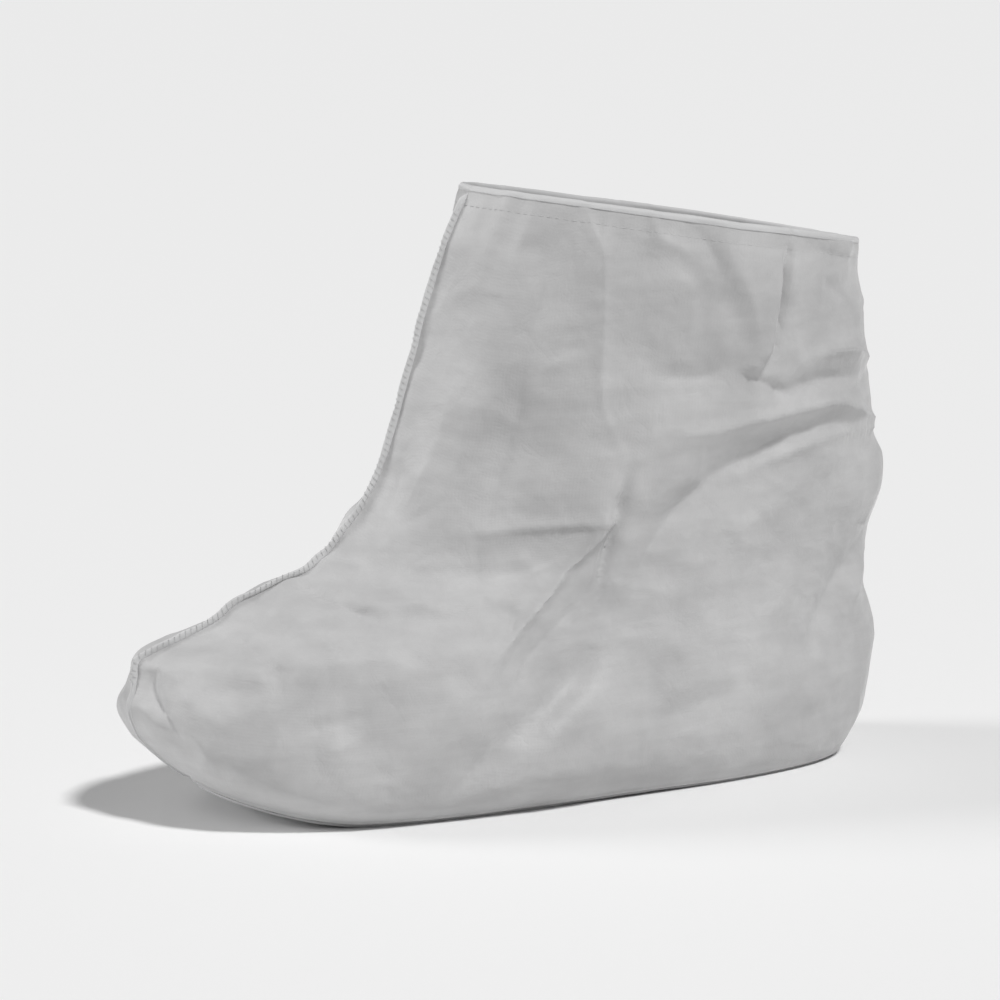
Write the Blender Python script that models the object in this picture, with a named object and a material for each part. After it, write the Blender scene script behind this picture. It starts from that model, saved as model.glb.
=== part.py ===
"""A slip-on fabric boot cover, standing empty in the form that it has when it is worn.

Metres, +Z up, toe towards +Y, inner side of the foot towards +X. The origin lies on the floor
under the middle of the cover. The upper is lofted through closed sections: each section is a
loop round the foot or the shaft, with a front half and a back half of their own roundness, and
the table rows give its heights, reaches and widths as shares of the named sizes.
"""

import bpy
import numpy as np

# Driving sizes of the cover in its worn form
FOOT_LENGTH = 0.3125
BALL_WIDTH = 0.122
FOOT_HEIGHT = 0.100
HEEL_TO_SHAFT_AXIS = 0.093
COLLAR_LENGTH = 0.162
COLLAR_WIDTH = 0.120
COLLAR_FRONT_HEIGHT = 0.2265
COLLAR_BACK_HEIGHT = 0.2005

# Profile of the sole: rises of its two ends and of the arch, the curve of the toe to the inner
# side, and the stretches that lie flat, as shares of half of FOOT_LENGTH
TOE_SPRING = 0.0095
HEEL_SPRING = 0.002
ARCH_RISE = 0.0007
TOE_CURVE = 0.006
SPRING_POWER = 1.8
BALL_FLAT = (0.154, 0.525)
HEEL_FLAT = (-0.806, -0.486)

# Cloth, seams and hem
CLOTH = 0.0005
SOLE_CLOTH = 0.0009
GAP = 0.0003
TURN = 0.0016
SOLE_INSET = 0.0024
LIP_WIDTH = 0.008
RIDGE_HEIGHT = 0.003
SEAM_WIDTH = 0.0016
SEAM_HEIGHT = 0.0022
SEAM_STOP = 0.002
HEM_DEPTH = 0.007
HEM_THICKNESS = 0.0013
HEM_BEAD = 0.0016
HEM_LAP = 0.0004

# Fineness of the loft
POINTS_AROUND = 44
FOOT_STEPS = 1
SHAFT_STEPS = 2

COLUMNS = ("front_height", "back_height", "front_reach", "back_reach", "half_width",
           "widest", "front_round", "back_round", "follow", "ridge")

# One row for each section of the foot, from the sole up. Heights are shares of FOOT_HEIGHT,
# reaches of half of FOOT_LENGTH, the half width of half of BALL_WIDTH. widest is where along
# the section it is widest, follow is how far the section follows the sole's own rise, and
# ridge how far the front seam stands out, as a share of RIDGE_HEIGHT.
FOOT_SECTIONS = (
    (0.025, 0.025, 0.830, 0.886, 0.845, 0.64, 2.3, 3.3, 1.00, 0.0),
    (0.070, 0.070, 0.912, 0.911, 0.905, 0.64, 2.3, 3.2, 0.95, 0.0),
    (0.140, 0.140, 0.970, 0.945, 0.960, 0.64, 2.3, 3.0, 0.85, 0.0),
    (0.230, 0.220, 0.995, 0.968, 0.990, 0.63, 2.3, 2.8, 0.70, 0.0),
    (0.330, 0.320, 1.000, 0.991, 1.000, 0.62, 2.2, 2.7, 0.50, 0.0),
    (0.420, 0.420, 0.986, 1.000, 0.985, 0.60, 2.2, 2.6, 0.32, 0.1),
    (0.500, 0.520, 0.978, 0.994, 0.950, 0.58, 2.1, 2.5, 0.18, 0.2),
    (0.590, 0.620, 0.962, 0.979, 0.920, 0.56, 2.0, 2.4, 0.08, 0.4),
    (0.662, 0.710, 0.868, 0.968, 0.885, 0.54, 1.9, 2.4, 0.00, 0.6),
    (0.728, 0.800, 0.770, 0.972, 0.870, 0.52, 1.8, 2.3, 0.00, 0.8),
    (0.788, 0.890, 0.710, 0.982, 0.855, 0.50, 1.8, 2.3, 0.00, 0.9),
    (0.852, 0.980, 0.570, 0.995, 0.855, 0.50, 1.7, 2.3, 0.00, 1.0),
    (0.908, 1.070, 0.498, 1.007, 0.870, 0.50, 1.7, 2.3, 0.00, 1.0),
)

# One row for each section of the shaft, up to the collar. Heights are shares of the way from
# FOOT_HEIGHT to the collar, reaches of half of COLLAR_LENGTH, measured from the shaft's axis,
# and the half width of half of COLLAR_WIDTH. The other columns are as in the foot's table.
SHAFT_SECTIONS = (
    (0.000, 0.157, 1.635, 1.157, 0.900, 0.50, 1.7, 2.3, 0.00, 1.0),
    (0.100, 0.235, 1.510, 1.113, 0.933, 0.50, 1.7, 2.3, 0.00, 1.0),
    (0.210, 0.324, 1.418, 1.107, 0.950, 0.50, 1.7, 2.2, 0.00, 1.0),
    (0.320, 0.412, 1.352, 1.098, 0.967, 0.50, 1.7, 2.2, 0.00, 1.0),
    (0.470, 0.540, 1.278, 1.064, 0.983, 0.50, 1.75, 2.2, 0.00, 1.0),
    (0.664, 0.696, 1.200, 1.039, 1.000, 0.50, 1.8, 2.2, 0.00, 0.9),
    (0.844, 0.853, 1.108, 1.022, 1.000, 0.50, 1.85, 2.2, 0.00, 0.6),
    (1.000, 1.000, 1.000, 1.000, 1.000, 0.50, 1.9, 2.2, 0.00, 0.3),
)

TOE_END = FOOT_LENGTH / 2
SHAFT_AXIS = HEEL_TO_SHAFT_AXIS - TOE_END
SOLE_FRONT = TOE_END * FOOT_SECTIONS[0][COLUMNS.index("front_reach")]
SOLE_BACK = -TOE_END * FOOT_SECTIONS[0][COLUMNS.index("back_reach")]
BALL_BACK, BALL_FRONT = (TOE_END * share for share in BALL_FLAT)
HEEL_BACK, HEEL_FRONT = (TOE_END * share for share in HEEL_FLAT)


def sole_height(y):
    """Height of the sole's underside along the foot: flat under the ball and the heel, a low
    arch between them, and a rise towards both ends."""
    toe_share = np.clip((y - BALL_FRONT) / (SOLE_FRONT - BALL_FRONT), 0, None)
    heel_share = np.clip((y - HEEL_BACK) / (SOLE_BACK - HEEL_BACK), 0, None)
    arch_share = np.clip((y - HEEL_FRONT) / (BALL_BACK - HEEL_FRONT), 0, 1)
    return (TOE_SPRING * toe_share**SPRING_POWER + HEEL_SPRING * heel_share**SPRING_POWER
            + ARCH_RISE * np.sin(np.pi * arch_share) ** 2)


def smooth_rows(rows, steps):
    """The rows with steps - 1 more between each two, on a smooth curve through them all."""
    before = np.vstack([2 * rows[:1] - rows[1:2], rows[:-2]])
    after = np.vstack([rows[2:], 2 * rows[-1:] - rows[-2:-1]])
    lower, upper = rows[:-1], rows[1:]
    smooth = []
    for step in range(steps):
        t = step / steps
        smooth.append(lower + t * (upper - before) / 2
                      + t**2 * (2 * before - 5 * lower + 4 * upper - after) / 2
                      + t**3 * (3 * lower - before - 3 * upper + after) / 2)
    between = np.stack(smooth, axis=1).reshape(-1, rows.shape[1])
    return np.vstack([between, rows[-1:]])


def section_rows():
    """All the sections in metres: heights, reaches along Y, half width, and the shape columns."""
    foot = np.array(FOOT_SECTIONS)
    shaft = np.array(SHAFT_SECTIONS)
    foot[:, 0:2] *= FOOT_HEIGHT
    foot[:, 2:4] *= TOE_END * np.array([1, -1])
    foot[:, 4] *= BALL_WIDTH / 2
    collar = np.array([COLLAR_FRONT_HEIGHT, COLLAR_BACK_HEIGHT])
    shaft[:, 0:2] = FOOT_HEIGHT + shaft[:, 0:2] * (collar - FOOT_HEIGHT)
    shaft[:, 2:4] = SHAFT_AXIS + shaft[:, 2:4] * COLLAR_LENGTH / 2 * np.array([1, -1])
    shaft[:, 4] *= COLLAR_WIDTH / 2
    foot_part = smooth_rows(foot, FOOT_STEPS)
    shaft_part = smooth_rows(np.vstack([foot[-1:], shaft]), SHAFT_STEPS)
    return np.vstack([foot_part[:-1], shaft_part])


def section_ring(row):
    """One closed loop of points, from the toe round by the inner side. Each half is a rounded
    form |x|^n + |y|^n = 1, and the front seam stands out as a ridge on the first point."""
    front_height, back_height, front, back, half_width, widest, front_n, back_n, follow, ridge = row
    angle = np.linspace(0, 2 * np.pi, POINTS_AROUND, endpoint=False)
    along, across = np.cos(angle), np.sin(angle)
    power = 2 / np.where(along > 0, front_n, back_n)
    middle = back + (front - back) * widest
    reach = np.where(along > 0, front - middle, middle - back)
    y = middle + reach * np.sign(along) * np.abs(along) ** power
    y[0] += ridge * RIDGE_HEIGHT
    toe_share = np.clip((y - BALL_FRONT) / (TOE_END - BALL_FRONT), 0, 1)
    x = half_width * np.sign(across) * np.abs(across) ** power + TOE_CURVE * toe_share**2
    z = front_height * (1 + along) / 2 + back_height * (1 - along) / 2 + follow * sole_height(y)
    return np.stack([x, y, z], axis=-1)


def inset_ring(ring, distance, height):
    """The ring moved inwards in plan by a distance, and laid at a height over the sole's rise."""
    run = np.roll(ring, -1, axis=0) - np.roll(ring, 1, axis=0)
    outwards = np.stack([-run[:, 1], run[:, 0]], axis=-1)
    outwards /= np.linalg.norm(outwards, axis=-1, keepdims=True)
    plan = ring[:, 0:2] - distance * outwards
    return np.column_stack([plan, sole_height(plan[:, 1]) + height])


def surface_normals(grid):
    """Unit normals of a grid of rings, pointing out of the cover."""
    around = np.roll(grid, -1, axis=1) - np.roll(grid, 1, axis=1)
    upwards = np.gradient(grid, axis=0)
    normals = np.cross(upwards, around)
    return normals / np.linalg.norm(normals, axis=-1, keepdims=True)


def band_faces(rings):
    """Quads between rings that follow each other in one list of points, facing outwards."""
    n = POINTS_AROUND
    return [(k * n + j, (k + 1) * n + j, (k + 1) * n + (j + 1) % n, k * n + (j + 1) % n)
            for k in range(rings - 1) for j in range(n)]


def loop_faces(sections, corners):
    """Quads of a closed profile of so many corners, carried round a closed loop of sections."""
    return [(k * corners + c, k * corners + (c + 1) % corners,
             (k + 1) % sections * corners + (c + 1) % corners, (k + 1) % sections * corners + c)
            for k in range(sections) for c in range(corners)]


def fabric(name, color, roughness):
    """A plain cloth material."""
    material = bpy.data.materials.new(name)
    material.use_nodes = True
    shader = material.node_tree.nodes["Principled BSDF"]
    shader.inputs["Base Color"].default_value = (*color, 1)
    shader.inputs["Roughness"].default_value = roughness
    shader.inputs["Metallic"].default_value = 0.0
    return material


def add_solid(name, points, faces, material):
    """A closed mesh object with its faces pointing out, smooth but for its sharp edges."""
    mesh = bpy.data.meshes.new(name)
    mesh.from_pydata([tuple(point) for point in points], [], faces)
    mesh.validate()
    mesh.update()
    mesh.materials.append(material)
    mesh.shade_smooth()
    mesh.set_sharp_from_angle(angle=np.radians(40))
    solid = bpy.data.objects.new(name, mesh)
    bpy.context.scene.collection.objects.link(solid)
    return solid


def make_upper(wall, material):
    """The hollow shell: outer and inner wall one cloth apart, open at the collar and, inside
    the turned-in lip, underneath. The rings run up the outside, down the inside, and close."""
    inner = wall - surface_normals(wall) * CLOTH
    points = np.vstack([wall.reshape(-1, 3), inner[::-1].reshape(-1, 3)])
    faces = [tuple(i % len(points) for i in face) for face in band_faces(2 * len(wall) + 1)]
    return add_solid("upper", points, faces, material)


def make_sole(edge, material):
    """A sheet under the lip, ruled straight across from the points of its outline."""
    n = POINTS_AROUND
    underside = edge
    topside = edge + np.array([0, 0, SOLE_CLOTH])
    points = np.vstack([underside, topside])
    strips = [(j, j + 1, n - j - 1, n - j) for j in range(1, n // 2 - 1)]
    bottom = [(0, 1, n - 1)] + strips + [(n // 2 - 1, n // 2, n // 2 + 1)]
    top = [tuple(n + i for i in reversed(face)) for face in bottom]
    sides = [(j, n + j, n + (j + 1) % n, (j + 1) % n) for j in range(n)]
    return add_solid("sole", points, bottom + top + sides, material)


def make_collar_hem(wall, material):
    """The elastic hem: a round bead over the rim, and a band that hangs inside the wall. The band
    reaches less far down than the last section but one, so it runs beside a straight wall."""
    normals = surface_normals(wall)
    drop = wall[-2] - wall[-1]
    length = np.linalg.norm(drop, axis=-1, keepdims=True)
    share = HEM_DEPTH / length
    lower = wall[-1] + share * drop
    lower_normals = normals[-1] + share * (normals[-2] - normals[-1])
    upwards = -drop / length
    inner_face = CLOTH + GAP
    inner_edge = inner_face + HEM_THICKNESS
    bead = (
        (HEM_LAP, GAP),
        (HEM_LAP, GAP + HEM_BEAD / 2),
        (-inner_face / 2, GAP + HEM_BEAD),
        (-inner_edge, GAP + HEM_BEAD / 2),
    )
    corners = [wall[-1] + out * normals[-1] + up * upwards for out, up in bead]
    corners += [lower - inner_edge * lower_normals, lower - inner_face * lower_normals,
                wall[-1] - inner_face * normals[-1] + GAP * upwards]
    points = np.stack(corners, axis=1).reshape(-1, 3)
    return add_solid("collar_hem", points, loop_faces(POINTS_AROUND, len(corners)), material)


def make_seam(name, wall, column, material):
    """A narrow standing seam along one column of the wall, from over the sole to the rim."""
    line = wall[:, column]
    normals = surface_normals(wall)[:, column]
    run = line[-1] - line[-2]
    line = np.vstack([line[:-1], line[-1:] - SEAM_STOP * run / np.linalg.norm(run)])
    sideways = np.array([SEAM_WIDTH / 2, 0, 0]) * np.sign(normals[-1, 1])
    foot, crest = line + GAP * normals, line + (GAP + SEAM_HEIGHT) * normals
    points = np.stack([foot - sideways, foot + sideways, crest + sideways, crest - sideways], axis=1)
    last = 4 * (len(line) - 1)
    faces = [(4 * k + c, 4 * k + (c + 1) % 4, 4 * k + 4 + (c + 1) % 4, 4 * k + 4 + c)
             for k in range(len(line) - 1) for c in range(4)]
    faces += [(3, 2, 1, 0), (last, last + 1, last + 2, last + 3)]
    return add_solid(name, points.reshape(-1, 3), faces, material)


def main():
    """Clears the scene and builds the five pieces."""
    for old in list(bpy.data.objects):
        bpy.data.objects.remove(old)
    white_cloth = fabric("white_cloth", (0.72, 0.72, 0.73), 0.75)
    sole_cloth = fabric("sole_cloth", (0.66, 0.66, 0.67), 0.85)
    hem_cloth = fabric("hem_cloth", (0.78, 0.78, 0.79), 0.8)
    seam_cloth = fabric("seam_cloth", (0.76, 0.76, 0.77), 0.75)

    rings = np.stack([section_ring(row) for row in section_rows()])
    lip_height = SOLE_CLOTH + GAP
    lip = inset_ring(rings[0], LIP_WIDTH, lip_height)
    turn = inset_ring(rings[0], TURN, lip_height)
    wall = np.concatenate([lip[None], turn[None], rings])
    make_upper(wall, white_cloth)
    make_sole(inset_ring(rings[0], SOLE_INSET, 0.0), sole_cloth)
    make_collar_hem(wall, hem_cloth)
    make_seam("front_seam", rings[1:], 0, seam_cloth)
    make_seam("back_seam", rings[1:], POINTS_AROUND // 2, seam_cloth)


main()
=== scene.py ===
"""Looks of a slip-on boot cover: two sewn cloth panels, elastic hem, standing seams and sole.

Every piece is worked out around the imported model, in metres, in the same frame: +Z up, the toe
towards +Y, the inner side of the foot towards +X.
"""

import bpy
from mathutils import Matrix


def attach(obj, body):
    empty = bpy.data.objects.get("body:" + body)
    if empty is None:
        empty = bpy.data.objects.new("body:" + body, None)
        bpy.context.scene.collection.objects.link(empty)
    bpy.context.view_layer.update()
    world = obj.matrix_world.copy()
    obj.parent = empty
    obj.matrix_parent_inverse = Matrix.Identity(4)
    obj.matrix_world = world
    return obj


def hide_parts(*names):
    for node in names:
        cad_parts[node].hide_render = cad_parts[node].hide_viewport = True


bl_info = {
    "name": "Boot Cover",
    "version": (1, 0, 0),
    "blender": (4, 5, 0),
    "location": "View3D > Sidebar > Boot Cover",
    "description": "Sews a cloth boot cover round its packed model and sets its stage",
    "category": "Add Mesh",
}

import functools
import math

import bpy
import numpy as np
from bpy.props import FloatProperty, FloatVectorProperty, PointerProperty
from bpy.types import Operator, Panel, PropertyGroup
from mathutils import Vector

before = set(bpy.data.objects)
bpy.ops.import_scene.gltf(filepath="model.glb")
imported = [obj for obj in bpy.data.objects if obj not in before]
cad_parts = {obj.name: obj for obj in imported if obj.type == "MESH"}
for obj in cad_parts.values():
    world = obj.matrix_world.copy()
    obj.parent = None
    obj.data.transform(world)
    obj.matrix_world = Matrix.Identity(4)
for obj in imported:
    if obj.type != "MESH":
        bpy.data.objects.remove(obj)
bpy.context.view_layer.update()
BODY = "root"

# Sizes of the shell, as the solids have them
FOOT_LENGTH = 0.3125
BALL_WIDTH = 0.122
FOOT_HEIGHT = 0.100
HEEL_TO_SHAFT_AXIS = 0.093
COLLAR_LENGTH = 0.162
COLLAR_WIDTH = 0.120
COLLAR_FRONT_HEIGHT = 0.2265
COLLAR_BACK_HEIGHT = 0.2005
TOE_SPRING = 0.0095
HEEL_SPRING = 0.002
ARCH_RISE = 0.0007
TOE_CURVE = 0.006
SPRING_POWER = 1.8
BALL_FLAT = (0.154, 0.525)
HEEL_FLAT = (-0.806, -0.486)
CLOTH = 0.0005
SOLE_CLOTH = 0.0009
GAP = 0.0003
TURN = 0.0016
SOLE_INSET = 0.0024
LIP_WIDTH = 0.008
RIDGE_HEIGHT = 0.003
RIDGE_SPREAD = 0.005

# Rows of the foot and of the shaft, the same as the solids': front height, back height, front
# reach, back reach, half width, where it is widest, roundness in front and at the back, how far
# it follows the sole's rise, and how far the front seam stands out.
FOOT_SECTIONS = (
    (0.025, 0.025, 0.830, 0.886, 0.845, 0.64, 2.3, 3.3, 1.00, 0.0),
    (0.070, 0.070, 0.912, 0.911, 0.905, 0.64, 2.3, 3.2, 0.95, 0.0),
    (0.140, 0.140, 0.970, 0.945, 0.960, 0.64, 2.3, 3.0, 0.85, 0.0),
    (0.230, 0.220, 0.995, 0.968, 0.990, 0.63, 2.3, 2.8, 0.70, 0.0),
    (0.330, 0.320, 1.000, 0.991, 1.000, 0.62, 2.2, 2.7, 0.50, 0.0),
    (0.420, 0.420, 0.986, 1.000, 0.985, 0.60, 2.2, 2.6, 0.32, 0.1),
    (0.500, 0.520, 0.978, 0.994, 0.950, 0.58, 2.1, 2.5, 0.18, 0.2),
    (0.590, 0.620, 0.962, 0.979, 0.920, 0.56, 2.0, 2.4, 0.08, 0.4),
    (0.662, 0.710, 0.868, 0.968, 0.885, 0.54, 1.9, 2.4, 0.00, 0.6),
    (0.728, 0.800, 0.770, 0.972, 0.870, 0.52, 1.8, 2.3, 0.00, 0.8),
    (0.788, 0.890, 0.710, 0.982, 0.855, 0.50, 1.8, 2.3, 0.00, 0.9),
    (0.852, 0.980, 0.570, 0.995, 0.855, 0.50, 1.7, 2.3, 0.00, 1.0),
    (0.908, 1.070, 0.498, 1.007, 0.870, 0.50, 1.7, 2.3, 0.00, 1.0),
)
SHAFT_SECTIONS = (
    (0.000, 0.157, 1.635, 1.157, 0.900, 0.50, 1.7, 2.3, 0.00, 1.0),
    (0.100, 0.235, 1.510, 1.113, 0.933, 0.50, 1.7, 2.3, 0.00, 1.0),
    (0.210, 0.324, 1.418, 1.107, 0.950, 0.50, 1.7, 2.2, 0.00, 1.0),
    (0.320, 0.412, 1.352, 1.098, 0.967, 0.50, 1.7, 2.2, 0.00, 1.0),
    (0.470, 0.540, 1.278, 1.064, 0.983, 0.50, 1.75, 2.2, 0.00, 1.0),
    (0.664, 0.696, 1.200, 1.039, 1.000, 0.50, 1.8, 2.2, 0.00, 0.9),
    (0.844, 0.853, 1.108, 1.022, 1.000, 0.50, 1.85, 2.2, 0.00, 0.6),
    (1.000, 1.000, 1.000, 1.000, 1.000, 0.50, 1.9, 2.2, 0.00, 0.3),
)

# Fineness of the cloth
RINGS = 188
COLUMNS = 480
LIP_STEPS = 4

# The main creases, one a row. side is -1 on the outer and 1 on the inner side of the foot.
# height is in millimetres, a ridge above 0 and a trough below, and is multiplied by the user's
# crease height. left and right are the widths in millimetres on the two sides of the route, seen
# from outside and walking along it. start and end say how much of the height is there at the two
# ends. The route is in millimetres along the foot and up from the floor.
CREASE_COLUMNS = ("name", "side", "height", "left", "right", "start", "end", "route")
CREASES = (
    ("pleat under the rim", -1, 0.9, 3, 3, 1.0, 0.2,
     ((-15, 222), (-12, 207), (-11, 186), (-10, 163), (-11, 147), (-19, 129))),
    ("tip of the pleat", -1, 0.9, 2, 3, 1.0, 0.1, ((-7, 221), (-9, 214), (-12, 204))),
    ("side of the pleat", -1, -0.45, 6, 6, 0.8, 0.1, ((-2, 221), (-3, 200), (-1, 170))),
    ("deep crease", -1, -1.8, 2.8, 3.5, 0.1, 0.2,
     ((-21, 132), (-18, 116), (-15, 101), (-11, 88), (-8, 72))),
    ("edge of the deep crease", -1, 1.0, 2, 6, 0.3, 0.2,
     ((-16, 120), (-12, 106), (-8, 92), (-4, 78))),
    ("star, forward", -1, 0.9, 1.8, 4, 0.8, 0.3, ((-14, 105), (11, 105), (36, 103))),
    ("star, down to the ball", -1, 1.6, 2, 3.5, 0.9, 0.2,
     ((-14, 105), (-6, 97), (4, 88), (17, 76), (30, 65), (46, 47))),
    ("hollow under the star", -1, -1.3, 9, 8, 0.5, 0.1,
     ((-10, 86), (6, 72), (22, 60), (38, 42))),
    ("long fold from the heel", -1, -2.3, 12, 9, 0.5, 0.5,
     ((-140, 129), (-118, 134), (-101, 134), (-83, 129), (-67, 123), (-49, 113), (-37, 103),
      (-27, 88), (-20, 71))),
    ("ridge over the long fold", -1, 1.3, 3, 4, 0.4, 0.8,
     ((-42, 137), (-65, 139), (-88, 142), (-110, 144), (-128, 140), (-144, 133))),
    ("ridge in the long fold", -1, 1.1, 3, 3, 0.1, 0.8,
     ((-70, 118), (-88, 125), (-111, 130), (-143, 129))),
    ("plane under the long fold", -1, 1.1, 14, 10, 0.3, 0.1,
     ((-112, 116), (-92, 112), (-72, 100), (-56, 84))),
    ("hook under the rim", -1, 0.9, 3, 3, 0.8, 0.2,
     ((-29, 219), (-31, 212), (-36, 208), (-44, 205), (-50, 205))),
    ("hollow in the hook", -1, -1.0, 4, 4, 0.5, 0.1,
     ((-41, 216), (-47, 212), (-53, 203), (-56, 190))),
    ("wedge under the rim", -1, 0.8, 11, 4, 0.6, 0.5,
     ((-57, 214), (-59, 202), (-65, 190), (-70, 175), (-69, 161))),
    ("shadow before the wedge", -1, -0.2, 4, 4, 0.4, 0.2, ((-55, 200), (-60, 186), (-65, 172))),
    ("strong crease", -1, -1.9, 2, 2.5, 0.9, 0.3,
     ((-88, 211), (-85, 199), (-83, 185), (-80, 168), (-76, 160))),
    ("lip of the strong crease", -1, 1.2, 2, 5, 0.5, 0.6,
     ((-82, 205), (-80, 188), (-77, 172), (-73, 160))),
    ("turn of the strong crease", -1, 0.8, 3, 4, 0.6, 0.2,
     ((-80, 171), (-74, 166), (-68, 161), (-61, 157))),
    ("scallop under the rim", -1, -1.0, 3, 5, 0.6, 0.3,
     ((-88, 209), (-97, 205), (-110, 200), (-121, 197), (-131, 194))),
    ("lobe over the scallop", -1, 1.1, 4, 3, 0.4, 0.4, ((-96, 209), (-112, 205), (-126, 200))),
    ("crease under the turn", -1, -0.7, 1.8, 2.5, 0.5, 0.2,
     ((-64, 159), (-73, 156), (-83, 151), (-92, 148))),
    ("dip before the turn", -1, -0.9, 5, 4, 0.2, 0.1, ((-29, 160), (-45, 158), (-61, 161))),
    ("fold at the back edge", -1, 1.3, 3, 5, 0.2, 0.4,
     ((-92, 161), (-108, 164), (-124, 163), (-138, 158))),
    ("hollow at the back edge", -1, -1.2, 5, 5, 0.4, 0.5,
     ((-80, 149), (-98, 152), (-118, 153), (-136, 148))),
    ("upper back hollow", -1, -1.1, 6, 6, 0.4, 0.3, ((-104, 192), (-116, 184), (-132, 176))),
    ("meeting of two planes", -1, -2.7, 14, 4, 0.4, 0.3,
     ((61, 6), (40, 24), (16, 40), (0, 52), (-9, 66))),
    ("plane below the meeting", -1, 1.1, 5, 18, 0.2, 0.2,
     ((44, 10), (20, 28), (2, 42), (-10, 58))),
    ("belly of the ball", -1, 1.0, 16, 14, 0.1, 0.1, ((84, 20), (60, 38), (34, 52))),
    ("heel fold", -1, -1.5, 8, 8, 0.4, 0.1,
     ((-142, 88), (-127, 75), (-111, 58), (-91, 39))),
    ("heel crown", -1, 1.4, 7, 9, 0.3, 0.1, ((-146, 80), (-137, 69), (-126, 52))),
    ("heel pan", -1, 1.3, 12, 10, 0.2, 0.1, ((-100, 78), (-84, 62), (-62, 50))),
    ("waist dent", -1, -1.2, 10, 8, 0.2, 0.1, ((-70, 40), (-48, 34), (-22, 30))),
    ("kink of the instep", -1, -1.0, 3, 4, 0.9, 0.1, ((90, 84), (83, 78), (74, 76))),
    ("facet under the kink", -1, 1.2, 3, 5, 0.3, 0.1, ((87, 87), (78, 91), (68, 90))),
    ("notch of the toe", -1, -1.1, 3, 4, 1.0, 0.1, ((120, 69), (116, 62), (110, 57))),
    ("plane behind the notch", -1, 1.2, 8, 8, 0.4, 0.1, ((106, 76), (98, 68), (90, 56))),
    ("fold round the toe", -1, -1.0, 3, 3, 0.4, 0.1,
     ((149, 62), (152, 54), (152, 45), (148, 34))),
    ("toe cheek", -1, 1.1, 5, 6, 0.3, 0.1, ((146, 56), (142, 47), (134, 38))),
    ("toe side fold", -1, 0.9, 3, 5, 0.1, 0.1, ((110, 29), (100, 33), (88, 38))),
    ("toe side hollow", -1, -0.9, 6, 5, 0.1, 0.1, ((118, 40), (102, 42), (84, 46))),
    ("instep plane", -1, 1.0, 7, 9, 0.1, 0.1, ((57, 108), (46, 123), (37, 145), (30, 170))),
    ("instep hollow", -1, -1.2, 9, 8, 0.1, 0.1, ((34, 96), (24, 124), (17, 150), (12, 182))),
    ("inner wedge, front", 1, -1.6, 4, 8, 0.9, 0.1,
     ((-22, 219), (-14, 190), (-5, 162), (4, 136))),
    ("inner wedge, back", 1, 1.1, 8, 5, 0.8, 0.1,
     ((-34, 217), (-26, 192), (-12, 160), (0, 138))),
    ("inner star, forward", 1, 0.8, 5, 3, 0.5, 0.1, ((2, 112), (26, 100), (52, 90))),
    ("inner star, down", 1, -1.3, 4, 8, 0.6, 0.1, ((4, 118), (-4, 96), (-4, 72), (6, 50))),
    ("inner heel fold", 1, -1.6, 9, 8, 0.5, 0.2,
     ((-142, 128), (-118, 130), (-92, 122), (-66, 106), (-44, 86))),
    ("inner heel ridge", 1, 1.1, 6, 5, 0.5, 0.2,
     ((-144, 136), (-116, 143), (-84, 137), (-54, 126))),
    ("inner ankle fold", 1, -1.0, 5, 6, 0.3, 0.1, ((-40, 124), (-28, 104), (-26, 82))),
    ("inner shaft pleat", 1, -1.2, 3, 5, 0.9, 0.1, ((-78, 212), (-80, 188), (-72, 160))),
    ("inner shaft ridge", 1, 0.9, 5, 6, 0.8, 0.2, ((-92, 209), (-98, 186), (-112, 166))),
    ("inner toe fold", 1, -1.1, 4, 4, 0.5, 0.1, ((118, 66), (124, 54), (138, 40))),
    ("inner toe cheek", 1, 0.8, 6, 6, 0.3, 0.1, ((128, 60), (118, 46), (98, 34))),
    ("inner ball fold", 1, -1.2, 9, 9, 0.2, 0.2, ((60, 8), (44, 28), (20, 42), (-4, 50))),
    ("inner instep kink", 1, -1.0, 5, 5, 0.8, 0.1, ((90, 84), (80, 78), (66, 76))),
    ("inner heel pan", 1, 0.9, 10, 12, 0.2, 0.1, ((-128, 60), (-108, 44), (-84, 32))),
)

# Loose creases strewn by chance: how many, their shortest and longest length, width and
# height, and how much of them is left on the outer side, where the main creases are placed.
LOOSE_COLUMNS = ("count", "short", "long", "narrow", "wide", "low", "high", "outer_share")
LOOSE_CREASES = (
    (70, 0.045, 0.095, 0.0045, 0.0090, 0.0005, 0.0013, 0.45),
    (150, 0.020, 0.045, 0.0022, 0.0042, 0.00035, 0.00085, 0.90),
    (90, 0.010, 0.022, 0.0014, 0.0026, 0.00008, 0.00020, 0.80),
)

TOE_END = FOOT_LENGTH / 2
SHAFT_AXIS = HEEL_TO_SHAFT_AXIS - TOE_END
SOLE_FRONT = TOE_END * FOOT_SECTIONS[0][2]
SOLE_BACK = -TOE_END * FOOT_SECTIONS[0][3]
BALL_BACK, BALL_FRONT = (TOE_END * share for share in BALL_FLAT)
HEEL_BACK, HEEL_FRONT = (TOE_END * share for share in HEEL_FLAT)
MM = 0.001
CHANCE_SEED = 11

# Trial rings for each section and columns of the loft that the even rings are measured on
TRIAL_RINGS = 12
TRIAL_COLUMNS = 60

# A crease: samples for each stretch of its route, rounds of smoothing of its line on the cloth,
# samples that its direction is read over, the power of its fall-off, the widths that it reaches,
# the share of its length over which each end fades, and how far it may cross the middle
ROUTE_SAMPLES = 12
ROUTE_ROUNDS = 12
RUN_STEPS = 8
CREASE_POWER = 1.25
CREASE_REACH = 3
TAPER_SHARE = 0.4
SIDE_MARGIN = 0.004

# A loose crease: the width of its steep side as a share of the other, and its fall-off
LOOSE_STEEP = (0.4, 1.0)
LOOSE_POWER = 1.5

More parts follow.
